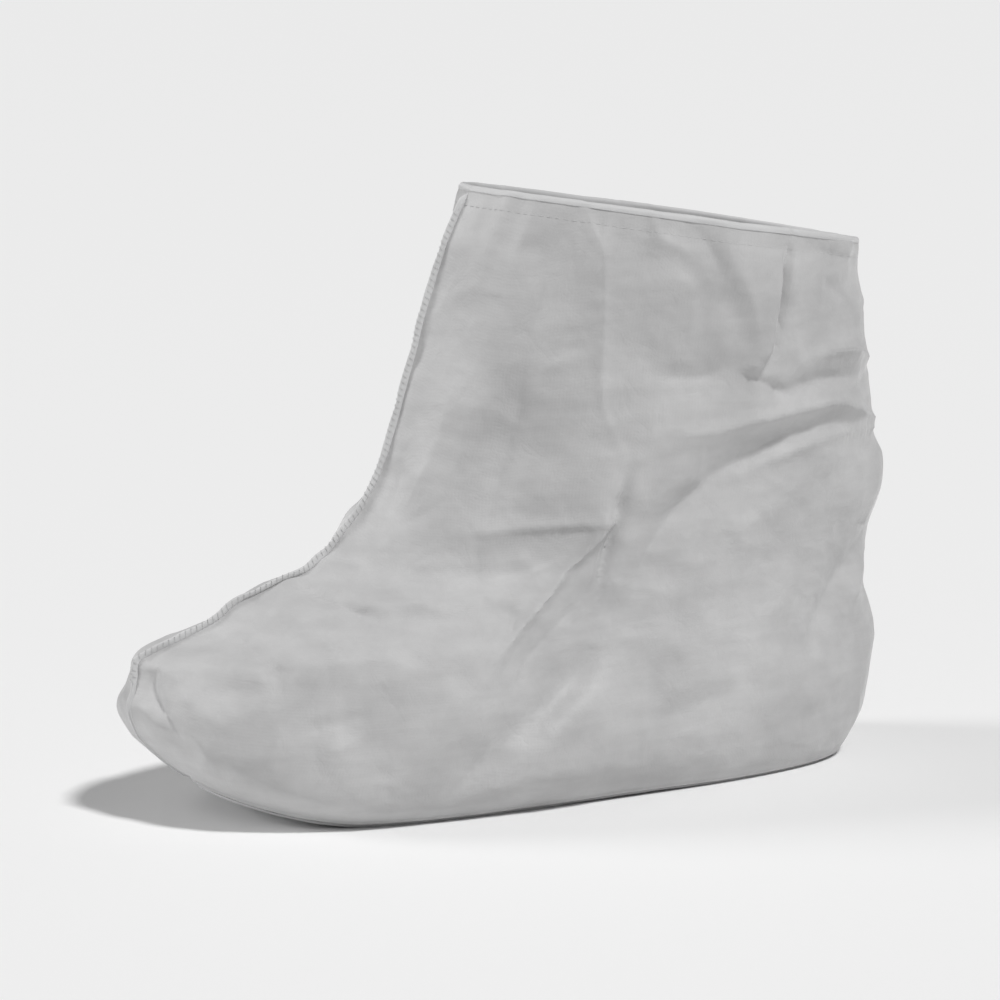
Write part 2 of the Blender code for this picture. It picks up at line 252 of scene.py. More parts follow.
# Waves of the cloth: how many, the longest and the shortest. The finer folds have a share of the
# crumple's height, and FOLD_MIDDLE is the usual height of a fold of unit noise.
SWELL_WAVES = (40, 0.110, 0.045)
FOLD_WAVES = (48, 0.060, 0.020)
FINE_FOLD_WAVES = (48, 0.018, 0.008)
FINE_FOLD_SHARE = 0.25
FOLD_MIDDLE = 0.8

# Where the cloth lies calmer: by how much and how far beside the seams and below the rim, and
# from which height over the sole it is free
SEAM_CALM, SEAM_CALM_WIDTH = 0.6, 0.005
RIM_CALM, RIM_CALM_DEPTH = 0.65, 0.016
SOLE_CALM, SOLE_CALM_HEIGHT = 0.003, 0.014

# Gathers under the hem: how many round the collar and where each set starts, in radians, and
# the slower waves, of the same kind, that make them come and go
GATHERS = ((17, 0.4), (23, 2.1), (29, 4.0), (38, 1.2))
SLACK_WAVES = ((2, 0.6), (3, 2.0))
SLACK_SWING = 0.45

# The hem: its short leg outside the wall, the fold over the rim, the band's round edge, how far
# the band sways with its waves round the collar, and the ring that shows which way is up
LEG_OUT, LEG_IN, LEG_DEPTH = 0.00028, 0.00004, 0.0006
LEG_ROUND = 0.00012
FOLD_HEIGHT = 0.0018
EDGE_ROUND = 0.0006
HEM_SWAY = 0.00025
HEM_SWAYS = ((31, 0.0), (44, 1.0))
UP_RING = -6

# The hem's stitches: how far they lie from the band's edge, the groove that they draw into the
# cloth, points of one stitch, the lengths from one to the next, how far one rises over its two
# holes and how deep these are, in threads, and its thickness at a hole
STITCH_MARGIN = 0.0008
GROOVE_DEPTH, GROOVE_WIDTH = 0.00012, 0.0009
STITCH_POINTS = 7
STITCH_SPACING = 1.22
STITCH_RISE, STITCH_SINK = 0.9, 0.35
STITCH_END = 0.45

# The seams: the rings that they run over, their lift off the cloth, rounds of smoothing of
# their direction, the waves of their lean and of their height (size, length of a radian and
# start), the low stretch at the toe or heel, and the fades and the shares left at their ends
SEAM_ROWS = slice(2 * LIP_STEPS + 3, -1)
SEAM_LIFT = 0.00005
SEAM_ROUNDS = 6
SEAM_LEANS = ((0.00025, 0.0031, 0.0), (0.0003, 0.0083, 1.0))
SEAM_WAVES = ((0.07, 0.0047, 0.0), (0.05, 0.0019, 0.0))
LOW_SHARE, LOW_END, LOW_RISE = 0.22, 0.030, 0.025
FADE_START, FADE_END = 0.004, 0.003
END_WIDTH, END_HEIGHT = 0.4, 0.06
SEAM_CLOTH = 0.006

# The overlock: where it starts and how far before the rim it stops, points of one loop, its
# pitch in stitches, how square the loops are, and how far they stand off the edges in threads
OVERLOCK_START = 0.046
OVERLOCK_END = 0.006
LOOP_POINTS = 14
LOOP_PITCH = 0.9
LOOP_POWER = 0.6
LOOP_SIDE, LOOP_TOP = 0.35, 0.2

# Across a seam, from the foot of one flank over the crest: half thicknesses to the side and
# shares of the height. The two feet and the hidden underside are added to it.
SEAM_FLANK = ((-1.15, 0.30), (-0.95, 0.62), (-0.75, 0.88), (-0.42, 0.99), (0.0, 1.03),
              (0.42, 0.99), (0.75, 0.88), (0.95, 0.62), (1.15, 0.30))

# The sole's folds: waves across it, how deep they are and where they stop growing
SOLE_WAVES = (40, 0.050, 0.012)
SOLE_FOLD, SOLE_FOLD_TOP = 0.00012, 1.4
SOLE_COLUMNS = 64

# The dark tone of a cloth and of the thread, as a share of the light one
HEM_SHADE, SEAM_SHADE, SOLE_SHADE, THREAD_SHADE = 0.9, 0.92, 0.88, 0.86

# Bends sharper than this, in degrees, show as edges on cloth and on thread
CLOTH_EDGE, THREAD_EDGE = 60, 80


class CoverSizes(PropertyGroup):
    """Sizes of the cloth, the hem and the seams that a user may change."""

    crease_share: FloatProperty(
        name="Crease height", description="Share of the main creases' height", default=2.5)
    swell_height: FloatProperty(
        name="Swell", description="Height of the cloth's slow swells", default=0.0009,
        unit="LENGTH")
    crumple_height: FloatProperty(
        name="Crumple", description="Height of the cloth's sharp small folds", default=0.0004,
        unit="LENGTH")
    gather_height: FloatProperty(
        name="Gathers", description="Height of the gathers under the hem", default=0.0006,
        unit="LENGTH")
    gather_depth: FloatProperty(
        name="Gather depth", description="How far down the gathers fade", default=0.016,
        unit="LENGTH")
    hem_depth: FloatProperty(
        name="Hem depth", description="Height of the hem's band inside the collar",
        default=0.007, unit="LENGTH")
    hem_thickness: FloatProperty(
        name="Hem thickness", description="Thickness of the hem's band", default=0.0013,
        unit="LENGTH")
    seam_height: FloatProperty(
        name="Seam height", description="How far the seams stand out", default=0.0022,
        unit="LENGTH")
    seam_width: FloatProperty(
        name="Seam width", description="Thickness of the seams' two cloth edges",
        default=0.0013, unit="LENGTH")
    stitch_length: FloatProperty(
        name="Stitch length", description="Length of one stitch", default=0.0026,
        unit="LENGTH")
    thread: FloatProperty(
        name="Thread", description="Diameter of the thread", default=0.00028, unit="LENGTH")


class CoverColors(PropertyGroup):
    """Colours of the cloths and the thread."""

    cloth_light: FloatVectorProperty(
        name="Cloth, light", description="Lightest tone of the cloth", subtype="COLOR",
        default=(0.575, 0.573, 0.574), min=0, max=1)
    cloth_dark: FloatVectorProperty(
        name="Cloth, dark", description="Darkest tone of the cloth", subtype="COLOR",
        default=(0.415, 0.413, 0.415), min=0, max=1)
    # The hem and the seams get a lighter tone than the panels. This is painted light: it stands in for
    # the light that shines through their thin folded cloth edges.
    hem_tone_with_painted_light: FloatVectorProperty(
        name="Hem", description="Tone of the hem and the seams", subtype="COLOR",
        default=(0.62, 0.62, 0.622), min=0, max=1)
    sole_tone: FloatVectorProperty(
        name="Sole", description="Tone of the sole's cloth", subtype="COLOR",
        default=(0.50, 0.50, 0.504), min=0, max=1)
    thread_tone: FloatVectorProperty(
        name="Thread", description="Tone of the thread", subtype="COLOR",
        default=(0.60, 0.60, 0.60), min=0, max=1)
    floor_tone: FloatVectorProperty(
        name="Floor", description="Tone of the floor and the backdrop", subtype="COLOR",
        default=(0.90, 0.90, 0.90), min=0, max=1)


def lengths(vectors):
    """The length of each vector."""
    return np.linalg.norm(vectors, axis=-1)


def unit(vectors):
    """Each vector made 1 long."""
    return vectors / np.linalg.norm(vectors, axis=-1, keepdims=True)


def run_along(line):
    """The distance along an open line at each of its points."""
    return np.concatenate([[0], lengths(np.diff(line, axis=0)).cumsum()])


def sole_height(y):
    """Height of the sole's underside: 0 on the two flat spots, a sin^2 arch between them, and a
    rise as a power of the distance past them at both ends."""
    toe_share = np.clip((y - BALL_FRONT) / (SOLE_FRONT - BALL_FRONT), 0, None)
    heel_share = np.clip((y - HEEL_BACK) / (SOLE_BACK - HEEL_BACK), 0, None)
    arch_share = np.clip((y - HEEL_FRONT) / (BALL_BACK - HEEL_FRONT), 0, 1)
    return (TOE_SPRING * toe_share**SPRING_POWER + HEEL_SPRING * heel_share**SPRING_POWER
            + ARCH_RISE * np.sin(np.pi * arch_share) ** 2)


def rows_at(rows, places):
    """Rows read at fractional places of a table, on the cubic through each four neighbours:
    a + t(b - z)/2 + t^2(2z - 5a + 4b - c)/2 + t^3(3a - z - 3b + c)/2."""
    index = np.clip(places.astype(int), 0, len(rows) - 2)
    t = (places - index)[:, None]
    padded = np.vstack([2 * rows[:1] - rows[1:2], rows, 2 * rows[-1:] - rows[-2:-1]])
    before, lower, upper, after = (padded[index + step] for step in range(4))
    return (lower + t * (upper - before) / 2
            + t**2 * (2 * before - 5 * lower + 4 * upper - after) / 2
            + t**3 * (3 * lower - before - 3 * upper + after) / 2)


def section_table():
    """The sections in metres, from the sole to the collar."""
    foot = np.array(FOOT_SECTIONS)
    shaft = np.array(SHAFT_SECTIONS)
    foot[:, 0:2] *= FOOT_HEIGHT
    foot[:, 2:4] *= TOE_END * np.array([1, -1])
    foot[:, 4] *= BALL_WIDTH / 2
    collar = np.array([COLLAR_FRONT_HEIGHT, COLLAR_BACK_HEIGHT])
    shaft[:, 0:2] = FOOT_HEIGHT + shaft[:, 0:2] * (collar - FOOT_HEIGHT)
    shaft[:, 2:4] = SHAFT_AXIS + shaft[:, 2:4] * COLLAR_LENGTH / 2 * np.array([1, -1])
    shaft[:, 4] *= COLLAR_WIDTH / 2
    return np.vstack([foot, shaft])


def loft(rows, columns):
    """Closed loops, one for each row, from the toe round by the inner side. With t from 0 to
    2 pi, along = cos t and across = sin t: y = middle + reach |along|^(2/n),
    x = half width |across|^(2/n) + the toe's curve, z = a tilt from the front to the back height
    + the sole's rise. The front seam is a ridge that falls off as exp(-|x|)."""
    (front_height, back_height, front, back, half_width,
     widest, front_n, back_n, follow, ridge) = (rows[:, k, None] for k in range(rows.shape[1]))
    angle = np.linspace(0, 2 * np.pi, columns, endpoint=False)[None]
    along, across = np.cos(angle), np.sin(angle)
    power = 2 / np.where(along > 0, front_n, back_n)
    middle = back + (front - back) * widest
    reach = np.where(along > 0, front - middle, middle - back)
    y = middle + reach * np.sign(along) * np.abs(along) ** power
    x = half_width * np.sign(across) * np.abs(across) ** power
    y = y + np.where(along > 0, ridge * RIDGE_HEIGHT * np.exp(-np.abs(x) / RIDGE_SPREAD), 0)
    toe_share = np.clip((y - BALL_FRONT) / (TOE_END - BALL_FRONT), 0, 1)
    z = front_height * (1 + along) / 2 + back_height * (1 - along) / 2 + follow * sole_height(y)
    return np.stack([x + TOE_CURVE * toe_share**2, y, z], axis=-1)


def even_rings(rows, count, columns):
    """The loft at places that lie evenly along the cloth. Their distance is the mean of the one
    on the front seam and the one all round."""
    trial = np.linspace(0, len(rows) - 1, TRIAL_RINGS * len(rows))
    loops = loft(rows_at(rows, trial), TRIAL_COLUMNS)
    steps = lengths(np.diff(loops, axis=0))
    run = np.concatenate([[0], np.cumsum(steps[:, 0] + steps.mean(axis=1))])
    places = np.interp(np.linspace(0, run[-1], count), run, trial)
    return loft(rows_at(rows, places), columns)


def surface_normals(grid):
    """Unit normals of a closed grid of rings, pointing out: upwards x around."""
    around = np.roll(grid, -1, axis=1) - np.roll(grid, 1, axis=1)
    return unit(np.cross(np.gradient(grid, axis=0), around))


def inset_plan(ring, distance):
    """The ring moved inwards in plan by a distance."""
    run = np.roll(ring, -1, axis=0) - np.roll(ring, 1, axis=0)
    outwards = unit(np.stack([-run[:, 1], run[:, 0]], axis=-1))
    return ring[:, 0:2] - distance * outwards


def lip_rings(edge):
    """The cloth turned in under the foot: from the lip's inner edge out to the turn, a quarter
    of an ellipse up to the first ring, which isn't repeated."""
    over_sole = SOLE_CLOTH + GAP
    first_height = FOOT_SECTIONS[0][0] * FOOT_HEIGHT
    turn = np.linspace(np.pi / 2, 0, LIP_STEPS, endpoint=False)
    insets = np.concatenate([np.linspace(LIP_WIDTH, TURN, LIP_STEPS, endpoint=False),
                             TURN * (1 - np.cos(turn))])
    heights = np.concatenate([np.full(LIP_STEPS, over_sole),
                              first_height - (first_height - over_sole) * np.sin(turn)])
    rings = []
    for inset, height in zip(insets, heights):
        plan = inset_plan(edge, inset)
        rings.append(np.column_stack([plan, sole_height(plan[:, 1]) + height]))
    return np.stack(rings)


def ease(share):
    """A smooth step from 0 to 1: s^2 (3 - 2s)."""
    share = np.clip(share, 0, 1)
    return share**2 * (3 - 2 * share)


def crease_height(points, normals, crease):
    """Height of one crease over the whole cloth. Its route is laid on the cloth, and with d the
    distance to it and w the width on that side, the height is h exp(-(d / w)^1.25). Round the
    ends of the route the width eases from one side's to the other's."""
    row = dict(zip(CREASE_COLUMNS, crease))
    route = np.array(row["route"], dtype=float) * MM
    places = np.linspace(0, len(route) - 1, ROUTE_SAMPLES * (len(route) - 1) + 1)
    samples = rows_at(route, places)
    on_side = np.flatnonzero(points[:, 0] * row["side"] > -SIDE_MARGIN)
    side_points = points[on_side]
    far = lengths(side_points[None, :, 1:3] - samples[:, None])
    nearest = on_side[np.argmin(far, axis=1)]
    line = points[nearest]
    for _ in range(ROUTE_ROUNDS):
        line[1:-1] = (line[:-2] + 2 * line[1:-1] + line[2:]) / 4
    widest = CREASE_REACH * max(row["left"], row["right"]) * MM
    inside = np.all((points > line.min(axis=0) - widest) & (points < line.max(axis=0) + widest),
                    axis=-1)
    near = np.flatnonzero(inside)
    offset = points[near][:, None] - line[None]
    distance = lengths(offset)
    closest = np.argmin(distance, axis=1)
    offset = offset[np.arange(len(near)), closest]
    distance = distance[np.arange(len(near)), closest]
    step = np.arange(len(line))
    ahead = np.minimum(step + RUN_STEPS, len(line) - 1)
    run = line[ahead] - line[np.maximum(step - RUN_STEPS, 0)]
    leftwards = unit(np.cross(normals[nearest][closest], run[closest]))
    left_share = (1 + np.einsum("ij,ij->i", offset, leftwards) / np.maximum(distance, 1e-6)) / 2
    width = (row["right"] + (row["left"] - row["right"]) * ease(left_share)) * MM
    share = closest / (len(line) - 1)
    taper = (row["start"] + (1 - row["start"]) * ease(share / TAPER_SHARE)) * (
        row["end"] + (1 - row["end"]) * ease((1 - share) / TAPER_SHARE))
    height = np.zeros(len(points))
    height[near] = row["height"] * MM * taper * np.exp(-((distance / width) ** CREASE_POWER))
    return height


def loose_creases(points, normals, chance):
    """Short spindle-shaped creases strewn over the cloth, each steep on one side: with a along
    and c across it, the height is h (1 - (2a / length)^2)^2 exp(-(c / width)^1.5)."""
    height = np.zeros(len(points))
    for row in LOOSE_CREASES:
        row = dict(zip(LOOSE_COLUMNS, row))
        for _ in range(row["count"]):
            centre = chance.integers(len(points))
            turn = chance.uniform(0, np.pi)
            length = chance.uniform(row["short"], row["long"])
            width = chance.uniform(row["narrow"], row["wide"])
            rise = chance.uniform(row["low"], row["high"]) * chance.choice([-1, 1])
            steep = chance.uniform(*LOOSE_STEEP)
            normal = normals[centre]
            level = np.cross(normal, [0, 0, 1])
            level /= max(np.linalg.norm(level), 1e-6)
            steepest = np.cross(normal, level)
            run = np.cos(turn) * level + np.sin(turn) * steepest
            side = np.cross(normal, run)
            offset = points - points[centre]
            along = 2 * (offset @ run) / length
            across = offset @ side
            depth = np.abs(offset @ normal)
            width_here = np.where(across > 0, width, width * steep)
            spindle = np.clip(1 - along**2, 0, None) ** 2
            if points[centre, 0] < 0:
                rise *= row["outer_share"]
            fall = np.exp(-((np.abs(across) / width_here) ** LOOSE_POWER))
            height += rise * spindle * fall * (depth < length / 2)
    return height


def waves(points, chance, count, longest, shortest):
    """Smooth noise of about unit height: a sum of plane waves cos(k p + f) of random
    direction and phase, with lengths between two limits."""
    direction = unit(chance.normal(size=(count, 3)))
    length = np.exp(chance.uniform(np.log(shortest), np.log(longest), size=(count, 1)))
    phase = chance.uniform(0, 2 * np.pi, size=count)
    return np.cos(points @ (2 * np.pi * direction / length).T + phase).sum(axis=-1) * np.sqrt(
        2 / count)


def cloth_surface(sizes):
    """The cover's outer wall and its unit normals, worked out once for all the pieces."""
    return creased_wall(sizes.swell_height, sizes.crumple_height, sizes.crease_share,
                        sizes.gather_height, sizes.gather_depth, sizes.hem_depth)


@functools.cache
def creased_wall(swell_height, crumple_height, crease_share, gather_height, gather_depth,
                 hem_depth):
    """The outer wall as one closed grid of rings, lip first, and its unit normals: the loft
    moved along its normals by swells, sharp folds, creases and gathers, all of which fade
    towards the sole's edge and beside the seams."""
    rings = even_rings(section_table(), RINGS, COLUMNS)
    normals = surface_normals(rings)
    points, flat_normals = rings.reshape(-1, 3), normals.reshape(-1, 3)
    chance = np.random.default_rng(CHANCE_SEED)

    height = swell_height * waves(points, chance, *SWELL_WAVES)
    for share, table in ((1, FOLD_WAVES), (FINE_FOLD_SHARE, FINE_FOLD_WAVES)):
        folds = np.abs(waves(points, chance, *table))
        height += share * crumple_height * (FOLD_MIDDLE - folds)
    height += loose_creases(points, flat_normals, chance)
    for crease in CREASES:
        height += crease_share * crease_height(points, flat_normals, crease)
    height = height.reshape(RINGS, COLUMNS)

    below_rim = lengths(np.diff(rings, axis=0))[::-1].cumsum(axis=0)[::-1]
    below_rim = np.vstack([below_rim, np.zeros((1, COLUMNS))])
    above_sole = rings[..., 2] - sole_height(rings[..., 1])
    column = np.arange(COLUMNS)
    to_seam = np.minimum(np.minimum(column, COLUMNS - column), np.abs(column - COLUMNS // 2))
    spacing = lengths(np.roll(rings, -1, axis=1) - rings).mean(axis=1, keepdims=True)
    seam_distance = to_seam[None] * spacing
    height *= 1 - SEAM_CALM * np.exp(-((seam_distance / SEAM_CALM_WIDTH) ** 2))
    height *= ease((above_sole - SOLE_CALM) / SOLE_CALM_HEIGHT)
    height *= 1 - RIM_CALM + RIM_CALM * ease(below_rim / RIM_CALM_DEPTH)

    angle = np.linspace(0, 2 * np.pi, COLUMNS, endpoint=False)
    ripple = sum(np.cos(count * angle + phase) for count, phase in GATHERS)
    slow, slower = (np.cos(count * angle + phase) for count, phase in SLACK_WAVES)
    slack = 1 - SLACK_SWING + SLACK_SWING * slow * slower
    height += (gather_height * (ripple * slack)[None] / 2
               * np.exp(-((below_rim - hem_depth) / gather_depth) ** 2))
    groove = np.exp(-((below_rim - hem_depth + STITCH_MARGIN) / GROOVE_WIDTH) ** 2)
    height -= GROOVE_DEPTH * groove

    moved = rings + height[..., None] * normals
    wall = np.concatenate([lip_rings(rings[0]), moved])
    return wall, surface_normals(wall)


def put_mesh(name, points, quads, material, uv=None, sharp=CLOTH_EDGE):
    """A smooth mesh object made of four-cornered faces, with an optional uv point for each of
    its points, in metres along the cloth."""
    mesh = bpy.data.meshes.new(name)
    mesh.vertices.add(len(points))
    mesh.vertices.foreach_set("co", np.ascontiguousarray(points, dtype=np.float32).ravel())
    mesh.loops.add(quads.size)
    mesh.loops.foreach_set("vertex_index", quads.astype(np.int32).ravel())
    mesh.polygons.add(len(quads))
    mesh.polygons.foreach_set("loop_start", np.arange(0, quads.size, 4, dtype=np.int32))
    mesh.update(calc_edges=True)
    mesh.validate()
    if uv is not None:
        layer = mesh.uv_layers.new(name="cloth")
        layer.uv.foreach_set("vector", uv[quads.ravel()].astype(np.float32).ravel())
    mesh.materials.append(material)
    mesh.shade_smooth()
    mesh.set_sharp_from_angle(angle=math.radians(sharp))
    piece = bpy.data.objects.new(name, mesh)
    bpy.context.scene.collection.objects.link(piece)
    return piece


def grid_quads(rows, columns, close_rows=False, close_columns=False):
    """Faces of a grid of points, facing along rows x columns, closed round where asked."""
    r = np.arange(rows if close_rows else rows - 1)[:, None]
    c = np.arange(columns if close_columns else columns - 1)[None]
    r_next, c_next = (r + 1) % rows, (c + 1) % columns
    corners = np.broadcast_arrays(r * columns + c, r_next * columns + c,
                                  r_next * columns + c_next, r * columns + c_next)
    return np.stack(corners, axis=-1).reshape(-1, 4)


def capped_quads(steps, sides):
    """Faces of a closed profile with an even number of sides, carried along a path. The cap at
    each end is a ladder of faces across the profile."""
    near = np.arange(sides // 2 - 1)
    far = sides - 1 - near
    start = np.stack([near, near + 1, far - 1, far], axis=-1)
    end = start[:, ::-1] + (steps - 1) * sides
    return np.concatenate([grid_quads(steps, sides, close_columns=True), start, end])


def shell(name, outside, inside, material):
    """A sheet with a wall: two grids of points, one facing out and one in, joined all round
    their border. The uv is the distance along the columns and up the rows."""
    rows, columns = outside.shape[:2]
    count = rows * columns
    face = grid_quads(rows, columns)
    index = np.arange(count).reshape(rows, columns)
    border = np.concatenate([index[0, :-1], index[:-1, -1], index[-1, :0:-1], index[:0:-1, 0]])
    following = np.roll(border, -1)
    rim = np.stack([border, following, following + count, border + count], axis=-1)
    quads = np.concatenate([face, face[:, ::-1] + count, rim])
    up = np.zeros((rows, columns))
    up[1:] = lengths(np.diff(outside, axis=0)).cumsum(axis=0)
    across = np.zeros((rows, columns))
    across[:, 1:] = lengths(np.diff(outside, axis=1)).cumsum(axis=1)
    across -= across[:, columns // 2, None]
    uv = np.stack([across, up], axis=-1).reshape(-1, 2)
    points = np.concatenate([outside.reshape(-1, 3), inside.reshape(-1, 3)])
    return put_mesh(name, points, quads, material, np.vstack([uv, uv]))


def tubes(name, paths, radius, material, sides=6):
    """Threads: a circle of a few sides carried along each path, with its frame kept upright
    against the z axis. paths is threads x points x 3, radius threads x points or one value."""
    run = unit(np.gradient(paths, axis=1))
    helper = np.where(np.abs(run[..., 2:3]) < 0.9, [0.0, 0.0, 1.0], [1.0, 0.0, 0.0])
    side = unit(np.cross(run, helper))
    over = np.cross(run, side)
    angle = np.linspace(0, 2 * np.pi, sides, endpoint=False)
    radius = np.broadcast_to(radius, paths.shape[:2])[..., None, None]
    circle = (np.cos(angle)[:, None] * side[..., None, :] + np.sin(angle)[:, None]
              * over[..., None, :])
    points = paths[..., None, :] + radius * circle
    threads, steps = paths.shape[:2]
    one = capped_quads(steps, sides)[:, ::-1]
    quads = (one[None] + (np.arange(threads) * steps * sides)[:, None, None]).reshape(-1, 4)
    return put_mesh(name, points.reshape(-1, 3), quads, material, sharp=THREAD_EDGE)


class Wire:
    """A socket that takes part in Python sums. Each operation adds one Math node."""

    def __init__(self, nodes, socket):
        self.nodes = nodes
        self.socket = socket

    def math(self, operation, *values):
        """The result of a Math node on this socket and the given values."""
        inputs = {k: value for k, value in enumerate((self, *values))}
        return self.nodes.add("ShaderNodeMath", {"operation": operation}, inputs)

    def __add__(self, other):
        return self.math("ADD", other)

    def __sub__(self, other):
        return self.math("SUBTRACT", other)

    def __rsub__(self, other):
        return self.nodes.add("ShaderNodeMath", {"operation": "SUBTRACT"}, {0: other, 1: self})

    def __mul__(self, other):
        return self.math("MULTIPLY", other)

    __radd__ = __add__
    __rmul__ = __mul__


class Nodes:
    """The node tree of one material."""

    def __init__(self, name):
        self.material = bpy.data.materials.new(name)
        self.material.use_nodes = True
        self.tree = self.material.node_tree
        self.shader = self.tree.nodes["Principled BSDF"]

    def add(self, kind, settings=None, inputs=None, output=0):
        """Adds a node: its settings first, with a ramp's stops as (place, grey) pairs, then the
        values or links of its sockets. Gives back one of its outputs."""
        node = self.tree.nodes.new(kind)
        for key, value in (settings or {}).items():
            if key == "stops":
                ramp = node.color_ramp
                for element, (place, grey) in zip(ramp.elements, value):
                    element.position = place
                    element.color = (grey, grey, grey, 1)
            else:
                setattr(node, key, value)
        for key, value in (inputs or {}).items():
            self.feed(node.inputs[key], value)
        return Wire(self, node.outputs[output])

    def feed(self, socket, value):
        """Links a wire into a socket, or sets the socket's value."""
        if isinstance(value, Wire):
            self.tree.links.new(value.socket, socket)
        else:
            socket.default_value = value

    def set(self, **values):
        """Sets or links the shader's own sockets, named with _ for a space."""
        for key, value in values.items():
            self.feed(self.shader.inputs[key.replace("_", " ").title()
                                         .replace("Ior", "IOR")], value)

    def noise(self, place, scale, detail=2.0, distortion=0.0, rough=0.5):
        """Cloudy noise between 0 and 1."""
        return self.add("ShaderNodeTexNoise", {}, {
            "Vector": place, "Scale": scale, "Detail": detail, "Roughness": rough,
            "Distortion": distortion})

    def stretched(self, place, scale):
        """A place with its axes scaled apart, for a pattern with a grain."""
        return self.add("ShaderNodeMapping", {}, {"Vector": place, "Scale": scale})

    def blend_colors(self, factor, first, second):
        """A colour between two, by a factor."""
        return self.add("ShaderNodeMix", {"data_type": "RGBA"}, {
            0: factor, 6: (*first, 1), 7: (*second, 1)}, output=2)

    def bump(self, height, depth, below=None):
        """A bump of a depth in metres, laid over another one."""
        inputs = {"Height": height, "Distance": depth, "Strength": 1.0}
        if below is not None:
            inputs["Normal"] = below
        return self.add("ShaderNodeBump", {}, inputs)


def shaded(tone, shade):
    """A tone made darker by a share."""
    return tuple(shade * value for value in tone)


def nonwoven(name, light, dark, emboss_depth=0.00004, crumple_depth=0.0005):
    """Spunbonded cloth: clouds of denser and thinner fibre, a fine point-bonded emboss, single
    fibres, and small crumples, with a faint satin sheen."""
    nodes = Nodes(name)
    place = nodes.add("ShaderNodeTexCoord", output=3)
    cloth = nodes.add("ShaderNodeUVMap", {"uv_map": "cloth"})
    clouds = nodes.noise(place, 26.0, detail=4.0, rough=0.6)
    streaks = nodes.noise(nodes.stretched(place, (45.0, 45.0, 210.0)), 1.0, detail=3.0)
    fibres = nodes.noise(nodes.stretched(cloth, (520.0, 900.0, 1.0)), 1.0, detail=3.0,
                         distortion=1.6, rough=0.7)
    tone = (clouds - 0.5) * 1.7 + (streaks - 0.5) * 0.7 + (fibres - 0.5) * 0.25 + 0.5
    nodes.set(base_color=nodes.blend_colors(tone, dark, light))
    nodes.set(roughness=0.60 + (clouds - 0.5) * 0.22)
    crumple = nodes.noise(place, 95.0, detail=3.0, distortion=0.6)
    folds = nodes.add("ShaderNodeMath", {"operation": "ABSOLUTE"}, {0: crumple - 0.5})
    bonds = nodes.add("ShaderNodeTexVoronoi", {"voronoi_dimensions": "2D", "distance": "EUCLIDEAN"},
                      {"Vector": cloth, "Scale": 780.0, "Randomness": 0.12})
    normal = nodes.bump(folds, crumple_depth)
    normal = nodes.bump(bonds, emboss_depth, normal)
    normal = nodes.bump(fibres, 0.00003, normal)
    nodes.set(normal=normal, sheen_weight=0.35, sheen_roughness=0.4)
    return nodes.material


def thread_finish(tone):
    """Spun polyester thread with a fine twist."""
    nodes = Nodes("sewing_thread")
    place = nodes.add("ShaderNodeTexCoord", output=3)
    twist = nodes.noise(place, 2600.0, detail=2.0)
    dark = shaded(tone, THREAD_SHADE)
    nodes.set(base_color=nodes.blend_colors(twist, dark, tone))
    nodes.set(roughness=0.55 + (twist - 0.5) * 0.2, normal=nodes.bump(twist, 0.00005))
    return nodes.material


def finish_piece(piece, slot, *stands_for):
    """Makes a piece ride with the cover and stand for its solid. Its slot is not used."""
    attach(piece, BODY)
    if stands_for:
        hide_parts(*stands_for)


def arc(centre, radii, start, end, count):
    """Points on an ellipse round a centre, from one angle to another in degrees."""
    angle = np.radians(np.linspace(start, end, count))
    return np.column_stack([centre[0] + radii[0] * np.cos(angle),
                            centre[1] + radii[1] * np.sin(angle)])


def hem_profile(sizes):
    """The hem across the rim, as (out, up) points: a short leg outside the wall, a round fold
    over the rim, and the band inside, which comes back up against the wall."""
    band_out = -(CLOTH + GAP)
    band_in = band_out - sizes.hem_thickness
    fold_middle = (LEG_OUT + band_in) / 2
    leg_end = arc(((LEG_OUT + LEG_IN) / 2, -LEG_DEPTH),
                  ((LEG_OUT - LEG_IN) / 2, LEG_ROUND), 180, 360, 5)
    fold = arc((fold_middle, 0.0), (LEG_OUT - fold_middle, FOLD_HEIGHT), 0, 180, 13)
    band = np.column_stack([np.full(4, band_in), np.linspace(-0.2, -0.85, 4) * sizes.hem_depth])
    band_end = arc(((band_out + band_in) / 2, -sizes.hem_depth + EDGE_ROUND),
                   (sizes.hem_thickness / 2, EDGE_ROUND), 180, 360, 7)
    back = np.column_stack([np.full(4, band_out), np.linspace(-0.8, 0.0, 4) * sizes.hem_depth])
    return np.vstack([leg_end, fold, band, band_end, back, [((LEG_IN + band_out) / 2, GAP)],
                      [(LEG_IN, 0.0)]])


def at_depth(wall, normals, depth):
    """The closed line on the wall that lies a distance below the rim, and its normals."""
    steps = lengths(np.diff(wall[::-1], axis=0)).cumsum(axis=0)
    row = np.argmax(steps > depth, axis=0)
    column = np.arange(wall.shape[1])
    last = steps[row, column]
    before = np.where(row > 0, steps[np.maximum(row - 1, 0), column], 0)
    share = ((depth - before) / (last - before))[:, None]
    upper, lower = wall[::-1][row, column], wall[::-1][row + 1, column]
    return upper + share * (lower - upper), normals[::-1][row, column]


def along_closed(line, places):
    """Points of a closed line at distances along it."""
    closed = np.vstack([line, line[:1]])
    run = run_along(closed)
    return np.stack([np.interp(places % run[-1], run, closed[:, k]) for k in range(3)], axis=-1)


